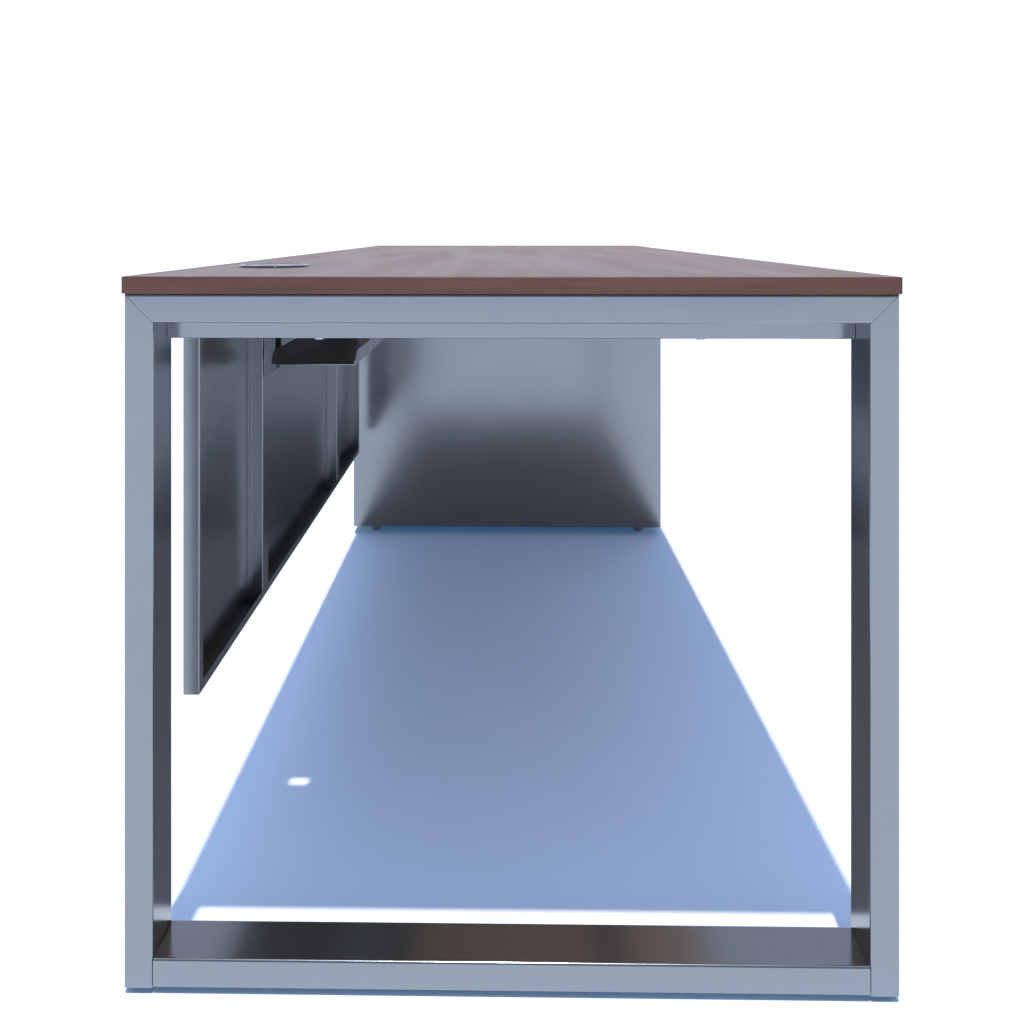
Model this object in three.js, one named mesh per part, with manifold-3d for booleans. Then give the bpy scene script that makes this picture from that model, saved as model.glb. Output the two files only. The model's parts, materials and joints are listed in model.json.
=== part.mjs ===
/**
 * A steel and walnut computer desk, 1800 x 800 x 740 mm.
 *
 * One end of the worktop stands on a closed loop of rectangular tube, the other on a drawer cabinet
 * as deep as the worktop. Two beams run between them. A folded modesty panel and a cable tray hang on
 * the visitor's side, next to the cable outlet.
 *
 * Millimetres. X runs along the worktop, from the loop leg to the cabinet. -Y is the user's side, +Y
 * the visitor's, and Z is up. The origin is on the floor, under the middle of the worktop.
 */
import * as THREE from 'three';
import { mergeVertices } from 'three/addons/utils/BufferGeometryUtils.js';
import Module from 'manifold-3d';

// ---- Driving dimensions ----

// Worktop: a walnut board with a 2 mm edge band on all four sides
const topLength = 1800;
const topDepth = 800;
const deskHeight = 740; // floor to the worktop's face
const topThickness = 18;
const bandThickness = 2;
const bandRadius = 1.5;
const overhang = 2; // worktop past the steelwork, all round

// Fits
const seat = 0.25; // left wherever two pieces meet
const running = 0.4; // between the sliding faces of a drawer runner

// Cable outlet
const outletFromLegEnd = 247; // to its centre
const outletFromVisitorEdge = 92;
const outletHoleRadius = 40;
const outletFlange = 5; // flange past the hole
const outletRim = 2.5; // rim above the worktop
const outletWall = 2;
const capRecess = 0.5; // cap's face below the rim
const capThickness = 3;
const capLedge = 3; // ledge that carries the cap
const slotLength = 27; // across the desk
const slotWidth = 15;
const slotOffset = 22; // slot's centre from the cap's, towards the leg

// Loop leg
const tubeFace = 30; // seen from the end of the desk
const tubeDepth = 52.5; // along the desk
const tubeWall = 1.5;
const tubeRadius = 2;
const plugHeight = 20;

// Levelling glides
const legGlideHeight = 5.75;
const legGlideRadius = 14;
const cabinetGlideHeight = 20;
const cabinetGlideRadius = 15;
const cabinetGlideFoot = 9;
const studRadius = 4;
const studLength = 30;
const bossWall = 5; // thread boss in the cabinet's base, round the stud
const bossHeight = 12;
const cabinetGlideFromSide = 37; // glide's axis from the cabinet's leg-side and outer faces
const cabinetGlideFromFront = 53; // and from its front and back

// Bearers and beams under the worktop
const bearerHeight = 20;
const bearerDepth = 40;
const bearerSetback = 38; // front of the leg's bearer behind the front of the leg
const beamWidth = 40;
const beamSpacing = 420; // between the two beams' centre lines
const beamRadius = 2;
const screwRadius = 2.5;
const screwHeadRadius = 5;
const screwHeadHeight = 4;
const screwReach = 7; // screw past the top of what it clamps

// Modesty panel
const panelLength = 1109;
const panelDepth = 19.5;
const panelFromLeg = 67.5; // panel's end from the back of the posts
const panelFromVisitorFace = 16.5; // panel's face from the outside of the leg
const panelBottom = 243.5;
const panelTopGap = 2; // under the worktop
const panelSheet = 1;
const panelLip = 12.5;
const stiffenerFromEnd = 279.5; // first stiffener's centre line from the panel's leg end
const stiffenerSpacing = 563; // to the second one's
const stiffenerWidth = 30;
const stiffenerBrim = 16;

// Tray brackets
const bracketWidth = 35;
const bracketDepth = 17.5;
const bracketBottom = 572;
const bracketSheet = 1.5;
const bracketChamfer = 10;
const bracketFoot = 45; // foot against the worktop
const bracketOffset = 5; // bracket's centre line from the stiffener's, towards the panel's middle

// Cable tray
const trayWidth = 122.5;
const trayBottom = 592;
const trayWallHeight = 20;
const trayEndHeight = 7; // walls are chamfered down to this at both ends
const trayOverrun = 24; // tray past the outside of its brackets
const traySheet = 1.5;
const hangerFromEnd = 128;
const hangerWidth = 40;
const hangerFoot = 28;

// Cabinet
const cabinetWidth = 444; // along the desk
const wallThickness = 20; // double-skinned sides and back
const railHeight = 20; // base and top, seen from the front
const caseRadius = 4;
const sheet = 1.2;

// Drawers: two shallow ones above a deep one
const frontDepth = 22;
const frontGap = 3;
const shallowFront = 160;
const pullHeight = 18; // finger gap above the front's lip
const pullDrop = 16; // trough behind the lip
const pullLip = 5;
const boxDepth = 550;
const boxAboveFront = 14; // box's floor above the front's bottom edge
const boxBelowFront = 28; // box's rim below the front's top edge
const runnerSpace = 13; // between box and cabinet wall
const runnerHeight = 27;
const runnerLift = 20; // runner above the box's floor
const runnerSheet = 1.2;
const runnerFlange = 10;

// Lock in the top drawer
const lockRadius = 9;
const lockLength = 16;
const lockProud = 1;
const lockFromSide = 60;
const lockFromTop = 70;

// ---- Places that follow from them ----

const frameX = topLength / 2 - overhang; // outer faces of leg and cabinet
const frameY = topDepth / 2 - overhang;
const topUnderside = deskHeight - topThickness;
const frameTop = topUnderside - seat;
const postBottom = legGlideHeight + seat;
const postInside = frameY - tubeFace; // inner faces of the posts
const legBack = -frameX + tubeDepth; // leg's face towards the cabinet
const bearerTop = frameTop - tubeFace - seat; // the beams are as high as the leg's top rail
const bearerBottom = bearerTop - bearerHeight;
const cabinetNear = frameX - cabinetWidth; // cabinet's face towards the leg
const cabinetBottom = cabinetGlideHeight + seat;
const panelFace = frameY - panelFromVisitorFace; // towards the visitor
const panelLipPlane = panelFace - panelDepth; // towards the user
const panelNear = legBack + panelFromLeg;
const panelHeight = topUnderside - panelTopGap - panelBottom;
const trayWallPlane = panelLipPlane - seat - bracketDepth; // where the tray meets its brackets

// ---- Finishes ----

const finish = (color, roughness, metalness) => new THREE.MeshStandardMaterial({ color, roughness, metalness });
const walnut = finish(0x7d5a4d, 0.35, 0);
const walnutBand = finish(0x74513f, 0.4, 0);
const framePaint = finish(0x96a2b4, 0.35, 0.55);
const panelPaint = finish(0x8b95a5, 0.4, 0.5);
const cabinetPaint = finish(0x8f9aaa, 0.35, 0.5);
const zinc = finish(0xb5b9bf, 0.35, 0.9);
const chrome = finish(0xc8ccd2, 0.15, 1);
const blackPlastic = finish(0x23262c, 0.5, 0);
const greyPlastic = finish(0x4b5566, 0.5, 0);

// ---- Making shapes ----

const wasm = await Module();
wasm.setup();

// A closed geometry as a solid for cutting and joining.
function solidOf(geometry) {
  const bare = new THREE.BufferGeometry();
  bare.setAttribute('position', geometry.getAttribute('position'));
  bare.setIndex(geometry.index);
  const merged = mergeVertices(bare, 1e-4);
  return new wasm.Manifold(new wasm.Mesh({
    numProp: 3,
    vertProperties: merged.getAttribute('position').array,
    triVerts: new Uint32Array(merged.index.array),
  }));
}

function geometryOf(solid) {
  const mesh = solid.getMesh();
  const geometry = new THREE.BufferGeometry();
  geometry.setAttribute('position', new THREE.BufferAttribute(mesh.vertProperties, 3));
  geometry.setIndex(new THREE.BufferAttribute(mesh.triVerts, 1));
  geometry.computeVertexNormals();
  return geometry;
}

function cut(body, ...tools) {
  return geometryOf(tools.reduce((rest, tool) => rest.subtract(solidOf(tool)), solidOf(body)));
}

function join(body, ...more) {
  return geometryOf(more.reduce((whole, next) => whole.add(solidOf(next)), solidOf(body)));
}

// A block with its lowest corner at the origin.
function block(x, y, z) {
  return new THREE.BoxGeometry(x, y, z).translate(x / 2, y / 2, z / 2);
}

// Outlines are drawn as width and height. Their extrusion runs up, or along X or Y with height up.
function up(outline, length) {
  return new THREE.ExtrudeGeometry(outline, { depth: length, bevelEnabled: false, curveSegments: 3 });
}

function alongX(outline, length) {
  return up(outline, length).rotateX(Math.PI / 2).rotateZ(Math.PI / 2);
}

function alongY(outline, length) {
  return up(outline, length).rotateX(Math.PI / 2).translate(0, length, 0);
}

// A rectangle with rounded corners, its lowest corner at (inset, inset).
function roundedOutline(width, height, radius, inset = 0, Kind = THREE.Shape) {
  const [right, top] = [width - inset, height - inset];
  const outline = new Kind();
  outline.absarc(right - radius, inset + radius, radius, -Math.PI / 2, 0);
  outline.absarc(right - radius, top - radius, radius, 0, Math.PI / 2);
  outline.absarc(inset + radius, top - radius, radius, Math.PI / 2, Math.PI);
  outline.absarc(inset + radius, inset + radius, radius, Math.PI, Math.PI * 1.5);
  outline.closePath();
  return outline;
}

function tubeOutline(width, height, radius) {
  const outline = roundedOutline(width, height, radius);
  const innerRadius = Math.max(radius - tubeWall, 0.5);
  outline.holes.push(roundedOutline(width, height, innerRadius, tubeWall, THREE.Path));
  return outline;
}

// The outline of a sheet folded along points, its thickness laid to the left of the path.
function foldedOutline(points, thickness) {
  const path = points.map(([x, y]) => new THREE.Vector2(x, y));
  const normals = path.slice(1).map((point, i) => {
    const along = point.clone().sub(path[i]).normalize();
    return new THREE.Vector2(-along.y, along.x);
  });
  const offset = path.map((point, i) => {
    const before = normals[Math.max(i - 1, 0)];
    const after = normals[Math.min(i, normals.length - 1)];
    const bisector = before.clone().add(after);
    return point.clone().addScaledVector(bisector, (2 * thickness) / bisector.lengthSq());
  });
  return new THREE.Shape([...path, ...offset.reverse()]);
}

// A channel whose flanges point to +X, or to -X if it is turned.
function channelOutline(width, height, thickness, turned = false) {
  const [web, tips] = turned ? [width, 0] : [0, width];
  const points = [[tips, height], [web, height], [web, 0], [tips, 0]];
  return foldedOutline(turned ? points.reverse() : points, thickness);
}

// A tray folded from sheet, open at the top, or at the bottom if it is inverted.
function pan(x, y, z, thickness, inverted = false) {
  const hollow = block(x - 2 * thickness, y - 2 * thickness, z);
  return cut(block(x, y, z), hollow.translate(thickness, thickness, inverted ? -thickness : thickness));
}

// A double-skinned wall with rounded upright edges. Its hollow is open at the top.
function hollowWall(x, y, z) {
  const innerRadius = Math.max(caseRadius - sheet, 0.5);
  const hollow = up(roundedOutline(x, y, innerRadius, sheet), z).translate(0, 0, sheet);
  return cut(up(roundedOutline(x, y, caseRadius), z), hollow);
}

// A turned piece: the profile's points are (radius, height), from the bottom of the axis to its top.
function turned(profile, segments = 28) {
  const points = profile.map(([radius, height]) => new THREE.Vector2(radius, height));
  return new THREE.LatheGeometry(points, segments).rotateX(Math.PI / 2);
}

// An upright drill from one height to another.
function drill(radius, x, y, from, to, segments = 24) {
  return turned([[0, from], [radius, from], [radius, to], [0, to]], segments).translate(x, y, 0);
}

// Moves every corner of a geometry by a rule.
function reshape(geometry, rule) {
  const corners = geometry.getAttribute('position');
  const corner = new THREE.Vector3();
  for (let i = 0; i < corners.count; i += 1) {
    rule(corner.fromBufferAttribute(corners, i));
    corners.setXYZ(i, corner.x, corner.y, corner.z);
  }
  return geometry;
}

function piece(name, geometry, material, x = 0, y = 0, z = 0) {
  const mesh = new THREE.Mesh(geometry, material);
  mesh.name = name;
  mesh.position.set(x, y, z);
  return mesh;
}

function assembly(...pieces) {
  const group = new THREE.Group();
  group.add(...pieces);
  return group;
}

// ---- Worktop ----

const outletSegments = 48;
const outletX = -topLength / 2 + outletFromLegEnd;
const outletY = topDepth / 2 - outletFromVisitorEdge;

function board() {
  const margin = bandThickness + seat;
  const outline = roundedOutline(topLength - 2 * margin, topDepth - 2 * margin, bandRadius);
  const [x, y] = [margin - topLength / 2, margin - topDepth / 2];
  const [holeX, holeY] = [outletX - x, outletY - y];
  const hole = drill(outletHoleRadius, holeX, holeY, -topThickness, 2 * topThickness, outletSegments);
  return piece('tabletop', cut(up(outline, topThickness), hole), walnut, x, y, topUnderside);
}

// The band's outer face has both its long edges rounded.
function bandOutline() {
  const outline = new THREE.Shape();
  outline.moveTo(bandThickness, 0);
  outline.lineTo(bandRadius, 0);
  outline.absarc(bandRadius, bandRadius, bandRadius, Math.PI * 1.5, Math.PI, true);
  outline.absarc(bandRadius, topThickness - bandRadius, bandRadius, Math.PI, Math.PI / 2, true);
  outline.lineTo(bandThickness, topThickness);
  outline.closePath();
  return outline;
}

// The end bands run the full depth, and the long ones lie between them.
function edgeBand(side, quarterTurns) {
  const isEnd = quarterTurns % 2 === 1;
  const length = isEnd ? topDepth : topLength - 2 * (bandThickness + seat);
  const reach = (isEnd ? topLength : topDepth) / 2;
  const band = piece(`edge_band_${side}`, alongX(bandOutline(), length), walnutBand, -length / 2, -reach);
  const place = assembly(band);
  place.rotation.z = (quarterTurns * Math.PI) / 2;
  place.position.z = topUnderside;
  return place;
}

function worktop() {
  const sides = ['user', 'cabinet_end', 'visitor', 'leg_end'];
  return assembly(board(), ...sides.map(edgeBand));
}

// ---- Cable outlet: a flanged ring in the worktop, and a cap that lifts out of it ----

function outlet() {
  const outside = outletHoleRadius - seat;
  const inside = outside - outletWall;
  const flange = outletHoleRadius + outletFlange;
  const capFace = outletRim - capRecess;
  const ledgeTop = capFace - capThickness - seat;
  const ledgeBottom = ledgeTop - outletWall;
  const ledgeInside = inside - capLedge;
  const rimInside = inside + outletWall / 2;
  const ring = [
    [outside, -topThickness],
    [outside, seat],
    [flange, seat],
    [flange, outletRim / 2],
    [flange - outletRim / 2, outletRim],
    [rimInside, outletRim],
    [rimInside - outletWall / 2, capFace],
    [inside, ledgeTop],
    [ledgeInside, ledgeTop],
    [ledgeInside, ledgeBottom],
    [inside, ledgeBottom - capLedge],
    [inside, -topThickness],
    [outside, -topThickness],
  ];
  const capRadius = inside - seat;
  const skirt = ledgeInside - seat;
  const cap = [
    [0, capFace - capThickness],
    [skirt - outletWall, capFace - capThickness],
    [skirt - outletWall, ledgeBottom],
    [skirt, ledgeBottom],
    [skirt, capFace - capThickness],
    [capRadius, capFace - capThickness],
    [capRadius, capFace],
    [0, capFace],
  ];
  const slot = up(roundedOutline(slotWidth, slotLength, slotWidth / 4), 4 * capThickness);
  slot.translate(-slotOffset - slotWidth / 2, -slotLength / 2, capFace - 2 * capThickness);
  const group = assembly(
    piece('grommet_ring', turned(ring, outletSegments), chrome),
    piece('grommet_cap', cut(turned(cap, outletSegments), slot), greyPlastic),
  );
  group.position.set(outletX, outletY, deskHeight);
  return group;
}

// ---- Loop leg: two posts and two rails of tube, mitred at the top and butted at the bottom ----

function levellingGlide(name, height, footRadius, topRadius) {
  const profile = [
    [0, 0],
    [footRadius, 0],
    [topRadius, height / 2],
    [topRadius, height],
    [studRadius, height],
    [studRadius, height + studLength],
    [0, height + studLength],
  ];
  return piece(name, turned(profile), greyPlastic);
}

function post(side, direction) {
  const outline = tubeOutline(tubeDepth, tubeFace, tubeRadius);
  const outerFace = direction > 0 ? tubeFace : 0;
  const tube = reshape(up(outline, frameTop - postBottom), (corner) => {
    if (corner.z > 0) corner.z -= Math.abs(outerFace - corner.y);
  });
  return piece(`leg_post_${side}`, tube, framePaint, 0, direction > 0 ? postInside : -frameY, postBottom);
}

// The plastic plug in the foot of a post takes the glide's thread.
function postPlug(side, direction) {
  const margin = tubeWall + seat;
  const [x, y] = [tubeDepth - 2 * margin, tubeFace - 2 * margin];
  const radius = Math.max(tubeRadius - tubeWall, 0.5);
  const hole = drill(studRadius + seat, x / 2, y / 2, -plugHeight, 2 * plugHeight);
  const plug = cut(up(roundedOutline(x, y, radius), plugHeight), hole);
  const middle = direction * (frameY - tubeFace / 2);
  return piece(`post_plug_${side}`, plug, blackPlastic, margin, middle - y / 2, postBottom);
}

function topRail() {
  const length = 2 * (frameY - seat);
  const outline = tubeOutline(tubeDepth, tubeFace, tubeRadius);
  const tube = reshape(alongY(outline, length), (corner) => {
    const setBack = tubeFace - corner.z;
    corner.y += corner.y > length / 2 ? -setBack : setBack;
  });
  return piece('leg_top_rail', tube, framePaint, 0, -length / 2, frameTop - tubeFace);
}

function bottomRail() {
  const length = 2 * (postInside - seat);
  const tube = alongY(tubeOutline(tubeDepth, tubeFace, tubeRadius), length);
  return piece('leg_bottom_rail', tube, framePaint, 0, -length / 2, postBottom);
}

function loopLeg() {
  const group = assembly(topRail(), bottomRail());
  for (const [side, direction] of [['user', -1], ['visitor', 1]]) {
    const foot = legGlideRadius - legGlideHeight / 2;
    const glide = levellingGlide(`leg_glide_${side}`, legGlideHeight, foot, legGlideRadius);
    glide.position.set(tubeDepth / 2, direction * (frameY - tubeFace / 2), 0);
    group.add(post(side, direction), postPlug(side, direction), glide);
  }
  group.position.x = -frameX;
  return group;
}

// ---- Bearers and beams: a bearer at each end carries the two beams, with a screw into each ----

const beamRows = [['user', -beamSpacing / 2], ['visitor', beamSpacing / 2]];
const legBearerX = -frameX + bearerSetback;
const cabinetBearerX = cabinetNear - seat - bearerDepth;
const legScrewX = (legBack + legBearerX + bearerDepth) / 2; // middle of the ledge behind the top rail
const cabinetScrewX = cabinetBearerX + bearerDepth / 2;

function bearer(name, x, screwX) {
  const length = 2 * (postInside - seat);
  const tube = alongY(tubeOutline(bearerDepth, bearerHeight, beamRadius), length);
  const holes = beamRows.map(([, y]) => (
    drill(screwRadius + seat, screwX - x, y + length / 2, -bearerHeight, 2 * bearerHeight)
  ));
  return piece(name, cut(tube, ...holes), framePaint, x, -length / 2, bearerBottom);
}

function beam(side, y) {
  const start = legBack + seat;
  const tube = alongX(tubeOutline(beamWidth, tubeFace, beamRadius), cabinetNear - seat - start);
  const holes = [legScrewX, cabinetScrewX].map((x) => (
    drill(screwRadius + seat, x - start, beamWidth / 2, -tubeFace / 2, tubeFace / 2)
  ));
  return piece(`beam_${side}`, cut(tube, ...holes), framePaint, start, y - beamWidth / 2, frameTop - tubeFace);
}

function screw(name, x, y) {
  const shank = bearerHeight + seat + screwReach;
  const profile = [
    [0, -screwHeadHeight],
    [screwHeadRadius * 0.6, -screwHeadHeight],
    [screwHeadRadius * 0.9, -screwHeadHeight * 0.6],
    [screwHeadRadius, 0],
    [screwRadius, 0],
    [screwRadius, shank],
    [0, shank],
  ];
  return piece(name, turned(profile, 24), zinc, x, y, bearerBottom - seat);
}

function underframe() {
  const group = assembly(
    bearer('leg_bearer', legBearerX, legScrewX),
    bearer('cabinet_bearer', cabinetBearerX, cabinetScrewX),
  );
  for (const [side, y] of beamRows) {
    group.add(
      beam(side, y),
      screw(`leg_bearer_screw_${side}`, legScrewX, y),
      screw(`cabinet_bearer_screw_${side}`, cabinetScrewX, y),
    );
  }
  return group;
}

// ---- Modesty panel: a pan with in-turned lips, two hat stiffeners and the brackets that hang it ----

function modestyPanel() {
  const hollow = block(panelLength - 2 * panelSheet, panelDepth - 2 * panelSheet, panelHeight - 2 * panelSheet);
  const window = block(panelLength - 2 * panelLip, 3 * panelSheet, panelHeight - 2 * panelLip);
  const folded = cut(
    block(panelLength, panelDepth, panelHeight),
    hollow.translate(panelSheet, panelSheet, panelSheet),
    window.translate(panelLip, -panelSheet, panelLip),
  );
  return piece('modesty_panel', folded, panelPaint, panelNear, panelLipPlane, panelBottom);
}

function stiffener(end, centre) {
  const width = stiffenerWidth + 2 * stiffenerBrim;
  const back = panelDepth - panelSheet - seat;
  const webs = stiffenerBrim + panelSheet;
  const outline = foldedOutline([
    [width, back],
    [width - webs, back],
    [width - webs, panelSheet],
    [webs, panelSheet],
    [webs, back],
    [0, back],
  ], panelSheet);
  const margin = panelLip + seat;
  const hat = up(outline, panelHeight - 2 * margin);
  return piece(`stiffener_${end}`, hat, panelPaint, centre - width / 2, panelLipPlane, panelBottom + margin);
}

function trayBracket(end, centre) {
  const height = frameTop - bracketBottom;
  const webToFoot = bracketDepth - bracketFoot;
  const channel = foldedOutline([
    [bracketWidth, 0],
    [bracketWidth, bracketDepth],
    [0, bracketDepth],
    [0, 0],
  ], bracketSheet);
  const corner = new THREE.Shape([
    new THREE.Vector2(-1, -1),
    new THREE.Vector2(bracketChamfer, -1),
    new THREE.Vector2(bracketChamfer, 0),
    new THREE.Vector2(0, bracketChamfer),
    new THREE.Vector2(-1, bracketChamfer),
  ]);
  const foot = block(bracketWidth, bracketFoot, bracketSheet).translate(0, webToFoot, height - bracketSheet);
  const chamfered = cut(up(channel, height), alongX(corner, bracketWidth + 2).translate(-1, 0, 0));
  const y = trayWallPlane;
  return piece(`tray_bracket_${end}`, join(chamfered, foot), panelPaint, centre - bracketWidth / 2, y, bracketBottom);
}

const nearStiffener = panelNear + stiffenerFromEnd;
const farStiffener = nearStiffener + stiffenerSpacing;
const nearBracket = nearStiffener + bracketOffset;
const farBracket = farStiffener - bracketOffset;

// ---- Cable tray: a channel on the brackets, hung from the visitor's beam by two tabs ----

const trayNear = nearBracket - bracketWidth / 2 - trayOverrun;
const trayLength = farBracket + bracketWidth / 2 + trayOverrun - trayNear;
const hangerHeight = frameTop - tubeFace - seat - trayBottom;

function endChamfer() {
  const [low, high] = [trayEndHeight, trayWallHeight + 1];
  return alongY(new THREE.Shape([
    new THREE.Vector2(-1, low - 1),
    new THREE.Vector2(high - low, high),
    new THREE.Vector2(-1, high),
  ]), trayWidth + 2).translate(0, -1, 0);
}

function hanger(x) {
  const strip = foldedOutline([
    [-hangerFoot, hangerHeight],
    [0, hangerHeight],
    [0, 0],
  ].reverse(), traySheet);
  return alongX(strip, hangerWidth).translate(x, 0, 0);
}

function cableTray() {
  const channel = foldedOutline([
    [0, trayWallHeight],
    [0, 0],
    [trayWidth, 0],
    [trayWidth, trayWallHeight],
  ], traySheet);
  const folded = cut(
    alongX(channel, trayLength),
    endChamfer(),
    endChamfer().rotateZ(Math.PI).translate(trayLength, trayWidth, 0),
  );
  const tray = join(folded, hanger(hangerFromEnd), hanger(trayLength - hangerFromEnd - hangerWidth));
  return piece('cable_tray', tray, panelPaint, trayNear, trayWallPlane - seat - trayWidth, trayBottom);
}

function visitorSide() {
  return assembly(
    modestyPanel(),
    stiffener('near', nearStiffener),
    stiffener('far', farStiffener),
    trayBracket('near', nearBracket),
    trayBracket('far', farBracket),
    cableTray(),
  );
}

// ---- Cabinet ----

const insideNear = cabinetNear + wallThickness; // inner faces of the cabinet's sides
const insideWidth = cabinetWidth - 2 * wallThickness;
const caseHeight = frameTop - cabinetBottom;
const bayBottom = cabinetBottom + railHeight; // what the drawer fronts fill
const bayTop = frameTop - railHeight;

const glideSpots = [
  ['front_near', cabinetNear + cabinetGlideFromSide, -frameY + cabinetGlideFromFront],
  ['front_far', frameX - cabinetGlideFromSide, -frameY + cabinetGlideFromFront],
  ['back_near', cabinetNear + cabinetGlideFromSide, frameY - cabinetGlideFromFront],
  ['back_far', frameX - cabinetGlideFromSide, frameY - cabinetGlideFromFront],
];

function cabinetBase() {
  const [x, y] = [insideNear + seat, -frameY];
  const depth = 2 * frameY - wallThickness - seat;
  const bosses = glideSpots.map(([, glideX, glideY]) => (
    drill(studRadius + seat + bossWall, glideX - x, glideY - y, sheet / 2, sheet + bossHeight)
  ));
  const holes = glideSpots.map(([, glideX, glideY]) => (
    drill(studRadius + seat, glideX - x, glideY - y, -sheet, 2 * railHeight)
  ));
  const tray = join(pan(insideWidth - 2 * seat, depth, railHeight, sheet), ...bosses);
  return piece('cabinet_base', cut(tray, ...holes), cabinetPaint, x, y, cabinetBottom);
}

function cabinetTop() {
  const depth = 2 * frameY - wallThickness - seat;
  const tray = pan(insideWidth - 2 * seat, depth, railHeight, sheet, true);
  return piece('cabinet_top', tray, cabinetPaint, insideNear + seat, -frameY, bayTop);
}

function cabinetCase() {
  const side = () => hollowWall(wallThickness, 2 * frameY, caseHeight);
  const back = hollowWall(insideWidth - 2 * seat, wallThickness, caseHeight);
  return assembly(
    piece('cabinet_side_inner', side(), cabinetPaint, cabinetNear, -frameY, cabinetBottom),
    piece('cabinet_side_outer', side(), cabinetPaint, frameX - wallThickness, -frameY, cabinetBottom),
    piece('cabinet_back', back, cabinetPaint, insideNear + seat, frameY - wallThickness, cabinetBottom),
    cabinetBase(),
    cabinetTop(),
  );
}

function cabinetGlides() {
  return assembly(...glideSpots.map(([corner, x, y]) => {
    const name = `cabinet_glide_${corner}`;
    const glide = levellingGlide(name, cabinetGlideHeight, cabinetGlideFoot, cabinetGlideRadius);
    glide.position.set(x, y, 0);
    return glide;
  }));
}

// ---- Drawers ----

const frontWidth = insideWidth - 2 * frontGap;
const boxWidth = insideWidth - 2 * runnerSpace;

// A folded front. Fingers reach over its lip into a trough along the whole of its top edge.
function drawerFront(height) {
  const back = frontDepth - sheet;
  const lipTop = height - pullHeight;
  const trough = lipTop - pullDrop;
  const folded = foldedOutline([
    [back, height],
    [back, trough],
    [pullLip, trough],
    [pullLip, lipTop],
    [0, lipTop],
    [0, 0],
    [frontDepth, 0],
  ], sheet);
  const end = new THREE.Shape([
    new THREE.Vector2(0, 0),
    new THREE.Vector2(frontDepth, 0),
    new THREE.Vector2(frontDepth, height),
    new THREE.Vector2(back, height),
    new THREE.Vector2(back, lipTop),
    new THREE.Vector2(0, lipTop),
  ]);
  return join(
    alongX(folded, frontWidth),
    alongX(end, sheet),
    alongX(end, sheet).translate(frontWidth - sheet, 0, 0),
  );
}

// Each side has a rail on the cabinet's wall and a slide on the box, one channel inside the other.
function runnerPair(name, side, boxBottom) {
  const isLeft = side === 'left';
  const depth = runnerSpace - 2 * seat;
  const slideHeight = runnerHeight - 2 * (runnerSheet + running);
  const rail = channelOutline(runnerFlange, runnerHeight, runnerSheet, !isLeft);
  const slide = channelOutline(runnerFlange, slideHeight, runnerSheet, isLeft);
  const wall = isLeft ? seat : insideWidth - seat - runnerFlange;
  const box = isLeft ? seat + depth - runnerFlange : insideWidth - seat - depth;
  const z = boxBottom + runnerLift;
  return assembly(
    piece(`${name}_rail_${side}`, alongY(rail, boxDepth), zinc, wall, frontDepth + seat, z),
    piece(`${name}_slide_${side}`, alongY(slide, boxDepth), zinc, box, frontDepth + seat, z + runnerSheet + running),
  );
}

function drawer(name, bottom, height, withLock) {
  const boxHeight = height - boxAboveFront - boxBelowFront;
  const lockX = frontWidth - lockFromSide;
  const lockZ = height - lockFromTop;
  let front = drawerFront(height);
  if (withLock) {
    const bore = new THREE.CylinderGeometry(lockRadius + seat, lockRadius + seat, 3 * sheet, 24);
    front = cut(front, bore.translate(lockX, 0, lockZ));
  }
  const group = assembly(
    piece(`${name}_front`, front, cabinetPaint, frontGap, 0, 0),
    piece(`${name}_box`, pan(boxWidth, boxDepth, boxHeight, sheet), cabinetPaint,
      runnerSpace, frontDepth + seat, boxAboveFront),
    runnerPair(name, 'left', boxAboveFront),
    runnerPair(name, 'right', boxAboveFront),
  );
  if (withLock) {
    const barrel = new THREE.CylinderGeometry(lockRadius, lockRadius, lockLength, 24);
    group.add(piece('lock_barrel', barrel, chrome, frontGap + lockX, lockLength / 2 - lockProud, lockZ));
  }
  group.position.set(insideNear, -frameY, bottom);
  return group;
}

function drawers() {
  const top = bayTop - frontGap - shallowFront;
  const middle = top - frontGap - shallowFront;
  const bottom = bayBottom + frontGap;
  return assembly(
    drawer('drawer_top', top, shallowFront, true),
    drawer('drawer_middle', middle, shallowFront, false),
    drawer('drawer_bottom', bottom, middle - frontGap - bottom, false),
  );
}

// ---- The desk ----

export default assembly(
  worktop(),
  outlet(),
  loopLeg(),
  underframe(),
  visitorSide(),
  cabinetCase(),
  cabinetGlides(),
  drawers(),
);
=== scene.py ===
# %% [markdown]
# # A steel and walnut desk
# The frame is the desk as it was engineered: every tube, sheet, drawer and glide in its true size and
# place, but with plain facets and no finish. This lesson gives it its surface. Some nodes only get a
# material. Others are made again with finer bends and rounds, and stand in for the plain ones.

# %% Load the frame
import json
import math
from collections import namedtuple

import bmesh
import bpy
from mathutils import Matrix, Vector

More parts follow.
